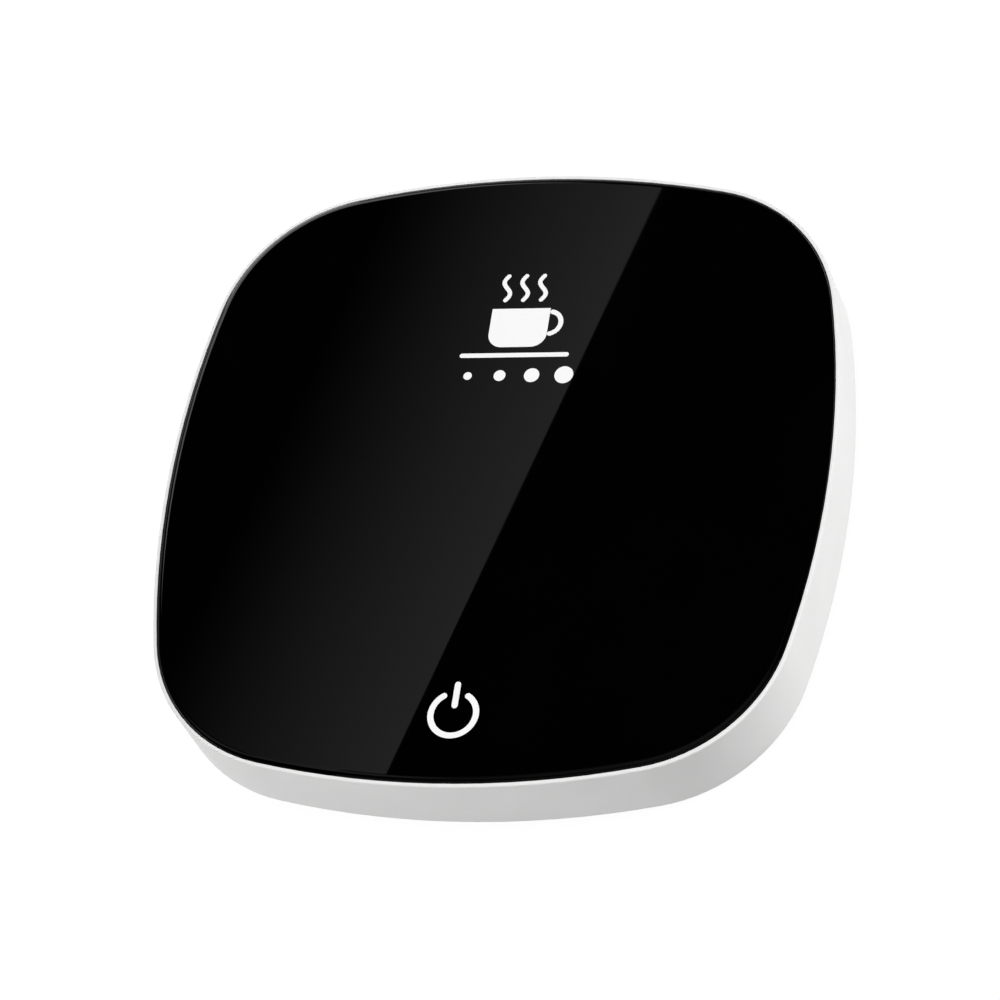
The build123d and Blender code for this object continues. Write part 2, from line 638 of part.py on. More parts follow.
LED_Z = BOARD_BOTTOM + 1.0
with BuildPart() as indicator_leds:
    with BuildSketch(plan(LED_Z)):
        with Locations((-2.2, WINDOW_Y - 2), (2.2, WINDOW_Y - 2)):
            Rectangle(2.8, 3.5)
    extrude(amount=0.8)
    with BuildSketch(plan(LED_Z + 0.8)):
        with Locations((-2.2, WINDOW_Y - 2), (2.2, WINDOW_Y - 2)):
            RectangleRounded(2.2, 2.8, 0.5)
    extrude(amount=-0.3, mode=Mode.SUBTRACT)
save(indicator_leds, "indicator_leds")

# Light guide: clear block glued under the deck by its flange.
with BuildPart() as light_guide:
    slab(GUIDE_W, GUIDE_L, 7.4, TRAY_BOTTOM + 0.4, (0, WINDOW_Y), corner=0.5)
    slab(GUIDE_W + 3.4, GUIDE_L + 3.4, DECK_BOTTOM - 0.6, DECK_BOTTOM, (0, WINDOW_Y), corner=1.0)
save(light_guide, "light_guide")

with BuildPart() as indicator_leads:
    for x in (-0.9, 0.9):
        lead(
            [
                (x, WINDOW_Y + 5.6, LED_Z + 0.45),
                (x, WINDOW_Y + 8.6, LED_Z + 0.4),
                (x, WINDOW_Y + 13.0, 5.0),
                (x, WINDOW_Y + 19.0, 4.6),
                (x, WINDOW_Y + 25.0, 4.9),
                (x, WINDOW_Y + 29.5, BOARD_TOP + 0.6),
                (x, WINDOW_Y + 33.0, BOARD_TOP + 0.45),
            ],
            SENSOR_LEAD_R,
        )
save(indicator_leads, "indicator_leads")
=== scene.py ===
from math import cos, pi, radians, sin

import bmesh
import bpy
from mathutils import Matrix, Vector


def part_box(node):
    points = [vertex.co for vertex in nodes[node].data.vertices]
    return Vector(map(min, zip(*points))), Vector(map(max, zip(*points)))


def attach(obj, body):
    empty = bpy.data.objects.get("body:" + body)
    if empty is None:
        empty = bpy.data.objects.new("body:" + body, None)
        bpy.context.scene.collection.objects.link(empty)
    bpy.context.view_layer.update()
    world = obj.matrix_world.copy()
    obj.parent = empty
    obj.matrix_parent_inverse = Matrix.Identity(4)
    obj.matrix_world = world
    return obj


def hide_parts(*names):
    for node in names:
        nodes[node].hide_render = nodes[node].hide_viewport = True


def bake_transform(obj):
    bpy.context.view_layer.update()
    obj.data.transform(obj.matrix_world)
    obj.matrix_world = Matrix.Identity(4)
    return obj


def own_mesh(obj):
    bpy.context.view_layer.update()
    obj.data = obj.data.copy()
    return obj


# Electric mug warmer: white satin shell, black glass plate, white printed signs.
# Metres, +Z up, -Y front. The CAD nodes keep their shapes and get their materials here.

MM = 0.001
CORNERS = ["front_left", "front_right", "rear_left", "rear_right"]
SPRINGS = ["spring_" + corner for corner in CORNERS]
FEET = ["foot_" + corner for corner in CORNERS]

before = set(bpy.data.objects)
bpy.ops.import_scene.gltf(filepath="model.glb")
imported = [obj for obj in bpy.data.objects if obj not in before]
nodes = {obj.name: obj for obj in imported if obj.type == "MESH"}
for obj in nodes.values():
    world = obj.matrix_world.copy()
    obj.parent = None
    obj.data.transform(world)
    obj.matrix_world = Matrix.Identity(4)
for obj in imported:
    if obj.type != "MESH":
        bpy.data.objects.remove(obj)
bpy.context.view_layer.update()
scene = bpy.context.scene
scene.view_settings.view_transform = "Standard"
GLASS_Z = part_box("glass_panel")[1].z


def direction(azimuth, elevation):
    """The unit vector towards an azimuth and an elevation, in degrees."""
    turn, rise = radians(azimuth), radians(elevation)
    return Vector((cos(turn) * cos(rise), sin(turn) * cos(rise), sin(rise)))


# ---------------------------------------------------------------- camera
CAMERA_AIM = Vector((-0.00413, 0.00367, 0))
CAMERA_DISTANCE = 0.83644
CAMERA_AZIMUTH = -56.261
CAMERA_ELEVATION = 56.452
CAMERA_ROLL = -29.407  # the view is tilted
LENS_MM = 175.84
SENSOR_MM = 36

CAMERA_BACK = direction(CAMERA_AZIMUTH, CAMERA_ELEVATION)
CAMERA_AT = CAMERA_AIM + CAMERA_BACK * CAMERA_DISTANCE

lens = bpy.data.cameras.new("photo_lens")
lens.lens = LENS_MM
lens.sensor_width = SENSOR_MM
lens.clip_start = 0.01
camera = bpy.data.objects.new("photo_camera", lens)
scene.collection.objects.link(camera)
level_turn = CAMERA_BACK.to_track_quat("Z", "Y").to_matrix().to_4x4()
roll_turn = Matrix.Rotation(radians(CAMERA_ROLL), 4, "Z")
camera.matrix_world = Matrix.Translation(CAMERA_AT) @ level_turn @ roll_turn
scene.camera = camera


# ---------------------------------------------------------------- node helpers
def rgb(r, g, b):
    return (r, g, b, 1.0)


def grey(level):
    return rgb(level, level, level)


class Nodes:
    """A node tree, with short ways to add nodes and to join them."""

    def __init__(self, tree):
        self.tree = tree
        tree.nodes.clear()

    def add(self, kind, settings=None, **inputs):
        """A node with its settings. An input is a socket's name, or i0, i1 and so on for its place."""
        node = self.tree.nodes.new(kind)
        for key, value in (settings or {}).items():
            setattr(node, key, value)
        for key, value in inputs.items():
            numbered = key[0] == "i" and key[1:].isdigit()
            self.put(node.inputs[int(key[1:]) if numbered else key], value)
        return node

    def put(self, socket, value):
        """Links another node's output to a socket, or sets the socket's own value."""
        if isinstance(value, bpy.types.NodeSocket):
            self.tree.links.new(value, socket)
        else:
            socket.default_value = value

    def place(self):
        """Where a point is on the object, in metres."""
        return self.add("ShaderNodeTexCoord").outputs["Object"]

    def stretched(self, scale, turn=0.0):
        """The same, turned about Z and scaled, so that a noise runs in streaks."""
        turned = (0, 0, turn)
        return self.add("ShaderNodeMapping", Vector=self.place(), Rotation=turned, Scale=scale).outputs[0]

    def split(self, vector):
        """The X, Y and Z of a vector."""
        return self.add("ShaderNodeSeparateXYZ", Vector=vector).outputs

    def noise(self, scale, detail=2.0, rough=0.5, where=None):
        where = where or self.place()
        node = self.add("ShaderNodeTexNoise", Vector=where, Scale=scale, Detail=detail, Roughness=rough)
        return node.outputs["Fac"]

    def ramp(self, value, low, high, to_low=0.0, to_high=1.0):
        node = self.add("ShaderNodeMapRange", i0=value, i1=low, i2=high, i3=to_low, i4=to_high)
        return node.outputs[0]

    def math(self, kind, a, b=0.0, c=0.0):
        return self.add("ShaderNodeMath", {"operation": kind}, i0=a, i1=b, i2=c).outputs[0]

    def most(self, first, *others):
        """The largest of several values."""
        for other in others:
            first = self.math("MAXIMUM", first, other)
        return first

    def times(self, first, *others):
        """The product of several values."""
        for other in others:
            first = self.math("MULTIPLY", first, other)
        return first

    def blend(self, factor, a, b):
        node = self.add("ShaderNodeMix", {"data_type": "RGBA"}, i0=factor, i6=a, i7=b)
        return node.outputs[2]

    def drift(self, noise, low, high):
        """A number that wanders between two with a noise."""
        return self.ramp(noise, 0.3, 0.7, low, high)

    def mottle(self, noise, a, b):
        """A colour that wanders between two with a noise."""
        return self.blend(self.drift(noise, 0.0, 1.0), rgb(*a), rgb(*b))

    def relief(self, height, depth_mm):
        """A surface that rises and falls with a height."""
        return self.add("ShaderNodeBump", Height=height, Distance=depth_mm * MM).outputs["Normal"]


class Finish(Nodes):
    """A material with one Principled shader."""

    def __init__(self, name):
        self.material = bpy.data.materials.new(name)
        self.material.use_nodes = True
        super().__init__(self.material.node_tree)
        self.surface = self.add("ShaderNodeBsdfPrincipled")
        self.add("ShaderNodeOutputMaterial", Surface=self.surface.outputs[0])

    def set(self, socket, value):
        self.put(self.surface.inputs[socket], value)


def moulded(name, colour, shade, rough, grain_mm, relief_mm, specular=0.5):
    """Moulded plastic or rubber: a fine even grain, slow shifts of colour and of gloss."""
    finish = Finish(name)
    finish.set("Specular IOR Level", specular)
    finish.set("Base Color", finish.mottle(finish.noise(45, 3), shade, colour))
    finish.set("Roughness", finish.drift(finish.noise(160, 3), rough - 0.05, rough + 0.05))
    finish.set("Normal", finish.relief(finish.noise(1 / (grain_mm * MM), 2, 0.6), relief_mm))
    return finish.material


def metal(name, colour, rough, brushed=(1.0, 1.0, 1.0), relief_mm=0.004):
    """Metal with drawn or rolled streaks; `brushed` stretches them along the axis with the small value."""
    finish = Finish(name)
    finish.set("Metallic", 1.0)
    streaks = finish.noise(2600, 3, 0.6, finish.stretched(brushed))
    stained = [channel * 0.8 for channel in colour]
    finish.set("Base Color", finish.mottle(finish.noise(220, 3, 0.55), stained, colour))
    finish.set("Roughness", finish.drift(streaks, rough - 0.08, rough + 0.08))
    finish.set("Normal", finish.relief(streaks, relief_mm))
    return finish.material


# ---------------------------------------------------------------- materials
# Moulded: colour, its other shade, roughness, the grain's size and relief in millimetres, and its shine.
shell_white = moulded("shell_white", (0.86, 0.86, 0.855), (0.83, 0.83, 0.825), 0.36, 0.35, 0.004)
cover_white = moulded("cover_white", (0.8, 0.8, 0.795), (0.75, 0.75, 0.745), 0.55, 0.28, 0.02)
tray_black = moulded("tray_black", (0.02, 0.02, 0.021), (0.014, 0.014, 0.015), 0.55, 0.5, 0.02)
foot_rubber = moulded("foot_rubber", (0.16, 0.16, 0.165), (0.12, 0.12, 0.125), 0.75, 0.4, 0.03, 0.3)
foam_black = moulded("foam_black", (0.02, 0.02, 0.02), (0.012, 0.012, 0.012), 0.9, 0.6, 0.06, 0.2)
black_plastic = moulded("black_plastic", (0.018, 0.018, 0.018), (0.01, 0.01, 0.01), 0.5, 0.2, 0.008)
connector_white = moulded("connector_white", (0.78, 0.76, 0.7), (0.72, 0.7, 0.63), 0.45, 0.2, 0.006)
stem_red = moulded("stem_red", (0.6, 0.03, 0.02), (0.5, 0.02, 0.015), 0.4, 0.2, 0.006)
ceramic_tan = moulded("ceramic_tan", (0.5, 0.36, 0.22), (0.42, 0.3, 0.18), 0.5, 0.1, 0.006)
ceramic_white = moulded("ceramic_white", (0.8, 0.78, 0.72), (0.7, 0.68, 0.62), 0.6, 0.15, 0.01)
bead_green = moulded("bead_green", (0.02, 0.12, 0.05), (0.015, 0.09, 0.04), 0.2, 0.4, 0.01)
sleeve_red = moulded("sleeve_red", (0.5, 0.02, 0.015), (0.42, 0.015, 0.01), 0.45, 0.3, 0.01)
sleeve_white = moulded("sleeve_white", (0.78, 0.78, 0.76), (0.7, 0.7, 0.68), 0.45, 0.3, 0.01)
sleeve_black = moulded("sleeve_black", (0.02, 0.02, 0.02), (0.012, 0.012, 0.012), 0.45, 0.3, 0.01)
led_yellow = moulded("led_yellow", (0.85, 0.72, 0.2), (0.75, 0.6, 0.12), 0.25, 0.2, 0.004)
# Metal: colour, roughness, then the streaks' stretch and relief.
screw_steel = metal("screw_steel", (0.62, 0.63, 0.65), 0.3)
spring_steel = metal("spring_steel", (0.6, 0.6, 0.6), 0.28)
plate_steel = metal("plate_steel", (0.66, 0.66, 0.67), 0.34, (0.06, 1.0, 1.0))
socket_steel = metal("socket_steel", (0.72, 0.72, 0.73), 0.22, (1.0, 0.08, 1.0))
aluminium = metal("aluminium", (0.86, 0.87, 0.88), 0.3, (0.05, 1.0, 1.0), 0.006)
heater_foil = metal("heater_foil", (0.62, 0.56, 0.47), 0.35)
contact_gold = metal("contact_gold", (0.95, 0.68, 0.28), 0.2)


def black_glass():
    """Glass printed black on its back: near black, polished, with faint wiping marks and a ground edge."""
    finish = Finish("black_glass")
    finish.set("IOR", 1.5)
    depth = finish.noise(30)
    finish.set("Base Color", finish.mottle(depth, (0.0002, 0.0002, 0.0002), (0.0006, 0.0006, 0.0007)))
    facing_up = finish.split(finish.add("ShaderNodeNewGeometry").outputs["Normal"])[2]
    polished = finish.ramp(facing_up, 0.3, 0.55)
    smears = finish.noise(60, 4, 0.6, finish.stretched((1.0, 0.25, 1.0), turn=0.6))
    wiped = finish.ramp(smears, 0.35, 0.75, 0.006, 0.016)
    finish.set("Roughness", finish.ramp(polished, 0.0, 1.0, 0.3, wiped))
    finish.set("Specular Tint", finish.blend(polished, grey(0.15), grey(1)))
    return finish.material


def white_ink():
    """Fired enamel: white, slightly matt, with fine screen grain."""
    finish = Finish("white_ink")
    finish.set("Specular IOR Level", 0.4)
    grain = finish.noise(6000)
    finish.set("Base Color", finish.mottle(grain, (0.9, 0.9, 0.9), (0.98, 0.98, 0.98)))
    finish.set("Roughness", finish.drift(grain, 0.4, 0.55))
    finish.set("Normal", finish.relief(grain, 0.004))
    return finish.material


def polyimide():
    """Amber heater film: glossy, with fine ripples and a slow change of tint."""
    finish = Finish("polyimide")
    finish.set("IOR", 1.6)
    finish.set("Base Color", finish.mottle(finish.noise(90, 3), (0.42, 0.14, 0.015), (0.62, 0.26, 0.03)))
    finish.set("Roughness", finish.drift(finish.noise(300), 0.15, 0.3))
    finish.set("Normal", finish.relief(finish.noise(400), 0.03))
    return finish.material


def needle_felt():
    """Pale felt: tangled fibres, soft and matt."""
    finish = Finish("needle_felt")
    finish.set("Sheen Weight", 0.3)
    finish.set("Specular IOR Level", 0.1)
    finish.set("Roughness", 0.95)
    one_way = finish.noise(2200, 4, 0.7, finish.stretched((1.0, 0.12, 1.0), turn=0.5))
    other_way = finish.noise(2200, 4, 0.7, finish.stretched((0.12, 1.0, 1.0), turn=-0.9))
    fibres = finish.most(one_way, other_way)
    tone = finish.blend(finish.ramp(fibres, 0.4, 0.8), rgb(0.5, 0.48, 0.43), rgb(0.82, 0.8, 0.75))
    finish.set("Base Color", tone)
    finish.set("Normal", finish.relief(fibres, 0.15))
    return finish.material


BOARD_BLOCKS = 130  # areas of tracks or copper to a metre of board,
BOARD_TRACKS = 1150  # tracks to a metre,
BOARD_VIAS = 190  # and via holes to a metre


def solder_mask():
    """Green board: lighter over copper areas and runs of tracks, with tinned via holes."""
    finish = Finish("solder_mask")
    finish.set("IOR", 1.5)
    place = finish.place()
    squares = {"voronoi_dimensions": "2D", "distance": "CHEBYCHEV"}
    blocks = finish.add("ShaderNodeTexVoronoi", squares, Vector=place, Scale=BOARD_BLOCKS, Randomness=0.7)
    kind = finish.add("ShaderNodeSeparateColor", Color=blocks.outputs["Color"]).outputs[0]
    x, y, _ = finish.split(place)
    tracks = []
    for along, kind_here in ((x, 0.15), (y, 0.4)):
        across_track = finish.math("FRACT", finish.times(along, BOARD_TRACKS))
        stripe = finish.math("GREATER_THAN", across_track, 0.52)
        tracks.append(finish.times(stripe, finish.math("COMPARE", kind, kind_here, 0.13)))
    pour = finish.math("GREATER_THAN", kind, 0.62)
    copper = finish.most(pour, *tracks)
    flat = {"voronoi_dimensions": "2D"}
    vias = finish.add("ShaderNodeTexVoronoi", flat, Vector=place, Scale=BOARD_VIAS, Randomness=0.9)
    from_via = vias.outputs["Distance"]
    tin = finish.ramp(from_via, 0.06, 0.07, 1.0, 0.0)
    hole = finish.ramp(from_via, 0.03, 0.036, 1.0, 0.0)
    mask = finish.blend(copper, rgb(0.008, 0.075, 0.028), rgb(0.018, 0.15, 0.055))
    mask = finish.blend(finish.drift(finish.noise(900), 0.0, 0.25), mask, rgb(0.006, 0.05, 0.02))
    tinned = finish.blend(tin, mask, rgb(0.6, 0.6, 0.58))
    finish.set("Base Color", finish.blend(hole, tinned, grey(0.005)))
    finish.set("Metallic", finish.math("SUBTRACT", tin, hole))
    finish.set("Roughness", finish.drift(finish.noise(300), 0.22, 0.34))
    finish.set("Normal", finish.relief(copper, 0.03))
    return finish.material


def clear_acrylic():
    """Clear light guide, with its polished and slightly wavy faces."""
    finish = Finish("clear_acrylic")
    finish.set("IOR", 1.49)
    finish.set("Transmission Weight", 0.9)
    haze = finish.noise(300, 3)
    finish.set("Base Color", finish.blend(haze, rgb(0.85, 0.88, 0.88), rgb(0.95, 0.96, 0.96)))
    finish.set("Roughness", finish.drift(haze, 0.05, 0.18))
    return finish.material


def dress(material, *names):
    """Gives CAD nodes their material."""
    for name in names:
        node = nodes[name]
        if not node.material_slots:
            node.data.materials.append(material)
        for slot in node.material_slots:
            slot.material = material


dress(shell_white, "outer_shell")
dress(cover_white, "base_cover")
dress(black_glass(), "glass_panel")
dress(foam_black, "glass_adhesive")
dress(tray_black, "carrier_tray")
dress(aluminium, "heat_spreader")
dress(polyimide(), "heater_film")
dress(heater_foil, "heater_track")
dress(needle_felt(), "insulation_felt")
dress(plate_steel, "clamp_plate")
dress(screw_steel, "cover_screws", "clamp_screws", "post_washers", "post_screws", "board_screws")
dress(bead_green, "thermistor")
dress(ceramic_white, "thermal_fuse")
dress(sleeve_red, "heater_lead_live")
dress(sleeve_white, "heater_lead_return")
dress(sleeve_black, "sensor_leads", "indicator_leads")
dress(solder_mask(), "control_board", "indicator_board")
dress(socket_steel, "socket_shell", "switch_cover")
dress(black_plastic, "socket_tongue", "switch_base")
dress(black_plastic, "controller_chip", "power_transistor", "chip_resistors")
dress(contact_gold, "socket_contacts")
dress(stem_red, "switch_stem")
dress(spring_steel, "switch_dome", *SPRINGS)
dress(ceramic_tan, "chip_capacitors")
dress(connector_white, "heater_connector", "sensor_connector")
dress(led_yellow, "indicator_leds")
dress(clear_acrylic(), "light_guide")
dress(foot_rubber, *FEET)


# ---------------------------------------------------------------- springs, leads and the switch dome, drawn in place of CAD nodes
def add_piece(name, mesh, material):
    """An object for a finished mesh, with its material."""
    mesh.name = name
    mesh.materials.clear()
    mesh.materials.append(material)
    piece = bpy.data.objects.new(name, mesh)
    scene.collection.objects.link(piece)
    return piece


def mesh_of(curve):
    """The mesh of a curve, with its own bevel or fill."""
    line = bpy.data.objects.new("line", curve)
    mesh = bpy.data.meshes.new_from_object(line)
    bpy.data.objects.remove(line)
    return mesh


def tube_mesh(points, radius, smooth_line=False):
    """A closed round tube along points in metres: from point to point, or as a smooth NURBS line."""
    curve = bpy.data.curves.new("tube_line", "CURVE")
    curve.dimensions = "3D"
    curve.bevel_depth = radius
    curve.bevel_resolution = 4
    curve.use_fill_caps = True
    curve.resolution_u = 10
    spline = curve.splines.new("NURBS" if smooth_line else "POLY")
    spline.points.add(len(points) - 1)
    for point, place in zip(spline.points, points):
        point.co = (*place, 1)
    if smooth_line:
        spline.order_u = 3
        spline.use_endpoint_u = True
    mesh = mesh_of(curve)
    mesh.shade_smooth()
    return mesh


WIRE_R = 0.25 * MM
SPRING_TURNS = 5.6
STEPS_A_TURN = 40
GROUND = 0.08 * MM  # how far the wire's middle stands off the ground end faces


def coil_height(turned, bottom, top):
    """The wire's height after some turns: the first and the last lie closed, and the others rise evenly."""
    closed = 2 * WIRE_R
    left = SPRING_TURNS - turned
    if turned < 1:
        return bottom + closed * turned
    if left < 1:
        return top - closed * left
    return bottom + closed + (top - bottom - 2 * closed) * (turned - 1) / (SPRING_TURNS - 2)


def coil_spring(node):
    """A compression spring with closed and ground ends in the place of the plain CAD helix."""
    low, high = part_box(node)
    middle = (low + high) / 2
    coil_r = (high.x - low.x) / 2 - WIRE_R
    steps = round(SPRING_TURNS * STEPS_A_TURN)
    points = []
    for i in range(steps + 1):
        turned = SPRING_TURNS * i / steps
        z = coil_height(turned, low.z + GROUND, high.z - GROUND)
        angle = 2 * pi * turned
        points.append((middle.x + coil_r * cos(angle), middle.y + coil_r * sin(angle), z))
    mesh = tube_mesh(points, WIRE_R)
    for vertex in mesh.vertices:
        vertex.co.z = min(max(vertex.co.z, low.z), high.z)
    piece = add_piece("coil_" + node, mesh, spring_steel)
    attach(piece, "base")
    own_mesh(piece)
    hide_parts(node)


for name in SPRINGS:
    coil_spring(name)

# The leads' routes, in millimetres, run from the plate down to the control board.
TRACK_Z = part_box("heater_track")[0].z / MM
CONNECTOR_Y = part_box("heater_connector")[0].y / MM
FUSE_Y = 30.3
SENSOR_X = 10.1
SENSOR_LEAD_APART = 0.6
LEAD_R = 0.65
SENSOR_LEAD_R = 0.4


def bending_lead(name, routes, radius, material, slot, node, bend):
    """Leads from board to plate: round tubes along their routes, joined into one piece. `bend` is not used.
    """
    joined = bmesh.new()
    for route in routes:
        mesh = tube_mesh([Vector(point) * MM for point in route], radius * MM, smooth_line=True)
        joined.from_mesh(mesh)
        bpy.data.meshes.remove(mesh)
    mesh = bpy.data.meshes.new(name)
    joined.to_mesh(mesh)
    joined.free()
    piece = add_piece(name, mesh, material)
    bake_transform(piece)
    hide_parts(node)


live_route = [
    (-16.62, FUSE_Y, TRACK_Z - 0.8),
    (-18.0, FUSE_Y, TRACK_Z - 0.9),
    (-18.9, 30.7, 10.2),
    (-19.5, 33.4, 8.6),
    (-19.4, 36.6, 7.9),
    (-19.4, CONNECTOR_Y, 7.9),
]
return_route = [
    (4.0, 30.0, TRACK_Z - 0.67),
    (4.0, 32.4, TRACK_Z - 0.67),
    (3.5, 34.2, 9.8),
    (0.8, 36.0, 8.2),
    (-4.0, 36.9, 7.7),
    (-9.0, 36.6, 7.6),
    (-13.2, 35.4, 7.7),
    (-15.6, 37.0, 7.9),
    (-15.6, CONNECTOR_Y, 7.9),
]


def sensor_route(x):
    return [
        (x, 2.52, TRACK_Z - 0.7),
        (x, 17.0, TRACK_Z - 0.85),
        (x, 31.4, TRACK_Z - 0.8),
        (x, 35.0, 8.7),
        (x, 37.8, 7.6),
        (x, CONNECTOR_Y, 7.6),
    ]


sensor_routes = [sensor_route(SENSOR_X + side * SENSOR_LEAD_APART) for side in (-1, 1)]
leads = (
    ("live_lead", [live_route], LEAD_R, sleeve_red, "lead_red", "heater_lead_live", (8.6, 11.1)),
    ("return_lead", [return_route], LEAD_R, sleeve_white, "lead_white", "heater_lead_return", (8.4, 11.3)),
    ("bead_leads", sensor_routes, SENSOR_LEAD_R, sleeve_black, "lead_black", "sensor_leads", (8.1, 11.3)),
)
for lead in leads:
    bending_lead(*lead)

DOME_SHEET = 0.1 * MM
DOME_RINGS = 12
DOME_SIDES = 48


def snap_dome():
    """The switch's spring dome: a thin shallow cap that flattens under the stem."""
    low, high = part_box("switch_dome")
    radius = (high.x - low.x) / 2
    rise = high.z - low.z - DOME_SHEET
    dome = bmesh.new()
    rings = []
    for side in (1, -1):  # crown to rim on top, then back underneath
        for i in range(DOME_RINGS + 1)[::side]:
            out = i / DOME_RINGS
            z = high.z - rise * out**2 - (0 if side == 1 else DOME_SHEET)
            count = 1 if i == 0 else DOME_SIDES
            turns = [2 * pi * k / DOME_SIDES for k in range(count)]
            rings.append([dome.verts.new((radius * out * cos(a), radius * out * sin(a), z)) for a in turns])
    for inner, outer in zip(rings, rings[1:]):
        for k in range(DOME_SIDES):
            n = (k + 1) % DOME_SIDES
            if len(inner) == 1:
                dome.faces.new((inner[0], outer[k], outer[n]))
            elif len(outer) == 1:
                dome.faces.new((inner[k], outer[0], inner[n]))
            else:
                dome.faces.new((inner[k], outer[k], outer[n], inner[n]))
    mesh = bpy.data.meshes.new("snap_dome")
    dome.to_mesh(mesh)
    dome.free()
    mesh.shade_smooth()
    piece = add_piece("snap_dome", mesh, spring_steel)
    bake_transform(piece)
    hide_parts("switch_dome")


snap_dome()

# ---------------------------------------------------------------- printed signs, sizes in millimetres
INK_T = 0.04
LINE_W = 0.85
CAP_STEP = 15  # degrees between the points of a line's round end
ink = white_ink()


def stroke(points, width):
    """The outline of a line with round ends, drawn through points, as one closed loop."""
    points = [Vector(p) for p in points]
    left, right = [], []
    for i, point in enumerate(points):
        before = points[max(i - 1, 0)]
        after = points[min(i + 1, len(points) - 1)]
        across = (after - before).normalized().orthogonal() * (width / 2)
        left.append(point + across)
        right.append(point - across)

    def cap(centre, start):
        arm = start - centre
        return [centre + Matrix.Rotation(-radians(a), 2) @ arm for a in range(CAP_STEP, 180, CAP_STEP)]

    return left + cap(points[-1], left[-1]) + right[::-1] + cap(points[0], right[0])


def arc(centre, radius, start, end, steps):
    """Points along a circle's arc, angles in degrees."""
    turn = [radians(start + (end - start) * i / steps) for i in range(steps + 1)]
    return [(centre[0] + radius * cos(a), centre[1] + radius * sin(a)) for a in turn]


def printed(name, loops):
    """White enamel of a real thickness, standing on the glass. A loop in a loop is a hole."""
    curve = bpy.data.curves.new(name + "_outline", "CURVE")
    curve.dimensions = "2D"
    curve.fill_mode = "BOTH"
    curve.extrude = INK_T * MM / 2
    for loop in loops:
        spline = curve.splines.new("POLY")
        spline.points.add(len(loop) - 1)
        for point, (x, y) in zip(spline.points, loop):
            point.co = (x * MM, y * MM, 0, 1)
        spline.use_cyclic_u = True
    mesh = mesh_of(curve)
    mesh.transform(Matrix.Translation((0, 0, GLASS_Z + INK_T * MM / 2)))
    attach(add_piece(name, mesh, ink), "hotplate")


# A mug on a warm plate, with three wisps of steam.
MUG_X = 0.4
MUG_Y = 24.0  # the mug's base
MUG_HALF = 5.2
MUG_H = 7.6
MUG_ROUND = 2.6
HANDLE_R = 2.2
HANDLE_UP = 4.7
HANDLE_TURN = 78
PLATE_HALF = 9.3
PLATE_DROP = 1.6
STEAM_GAP = 1.7
STEAM_H = 4.8
STEAM_SWING = 0.65
STEAM_APART = 3.2
STEAM_STEPS = 28


def mug_outline():
    """A straight-sided cup with a rounded base."""
    side = MUG_HALF - MUG_ROUND
    low = MUG_Y + MUG_ROUND
    left_foot = arc((MUG_X - side, low), MUG_ROUND, 180, 270, 8)
    right_foot = arc((MUG_X + side, low), MUG_ROUND, 270, 360, 8)
    rim = MUG_Y + MUG_H
    return [(MUG_X - MUG_HALF, rim), *left_foot, *right_foot, (MUG_X + MUG_HALF, rim)]


def wisp(x):
    """One wavy line of steam."""
    low = MUG_Y + MUG_H + STEAM_GAP
    shares = [i / STEAM_STEPS for i in range(STEAM_STEPS + 1)]
    points = [(x + STEAM_SWING * sin(2 * pi * share), low + STEAM_H * share) for share in shares]
    return stroke(points, LINE_W * 0.9)


plate_y = MUG_Y - PLATE_DROP
plate_line = stroke([(MUG_X - PLATE_HALF, plate_y), (MUG_X + PLATE_HALF, plate_y)], LINE_W)
handle = arc((MUG_X + MUG_HALF, MUG_Y + HANDLE_UP), HANDLE_R, HANDLE_TURN, -HANDLE_TURN, 20)
printed("mug_sign", [mug_outline(), plate_line])
printed("mug_sign_handle", [stroke(handle, LINE_W)])
printed("steam_sign", [wisp(MUG_X + side * STEAM_APART) for side in (-1, 0, 1)])

# Four dots of growing size.
DOT_X = -7.3
DOT_Y = 18.4
DOT_APART = 5.7
DOT_R = 0.75
DOT_GROWTH = 0.3
DOT_SIDES = 48
dots = [((DOT_X + DOT_APART * i, DOT_Y), DOT_R + DOT_GROWTH * i) for i in range(4)]
printed("level_dots", [arc(centre, radius, 0, 360, DOT_SIDES)[:-1] for centre, radius in dots])

# Ring with a bar: the place of the indicator light.
RING_X = 0.1
RING_Y = -45.6
RING_R = 3.9
RING_GAP = 32  # half of the gap at the top, in degrees
RING_W = 1.05
BAR = (1.6, 5.4)  # from the ring's middle
ring = arc((RING_X, RING_Y), RING_R, 90 + RING_GAP, 450 - RING_GAP, 64)
printed("power_sign_ring", [stroke(ring, RING_W)])
printed("power_sign_bar", [stroke([(RING_X, RING_Y + y) for y in BAR], RING_W)])

# ---------------------------------------------------------------- floor and cards
FLOOR_R = 12
FLOOR_DROP = 0.02 * MM  # just under the feet


def stage_material(name):
    """A material for a floor or a card, and its node tree."""
    material = bpy.data.materials.new(name)
    material.use_nodes = True
    return material, Nodes(material.node_tree)


def add_stage(name, mesh, material, only_mirrored=False):
    """A floor or a card, which may show only in reflections."""
    mesh.materials.append(material)
    piece = bpy.data.objects.new(name, mesh)
    scene.collection.objects.link(piece)
    if only_mirrored:
        for ray_kind in ("camera", "diffuse", "transmission", "shadow", "volume_scatter"):
            setattr(piece, "visible_" + ray_kind, False)


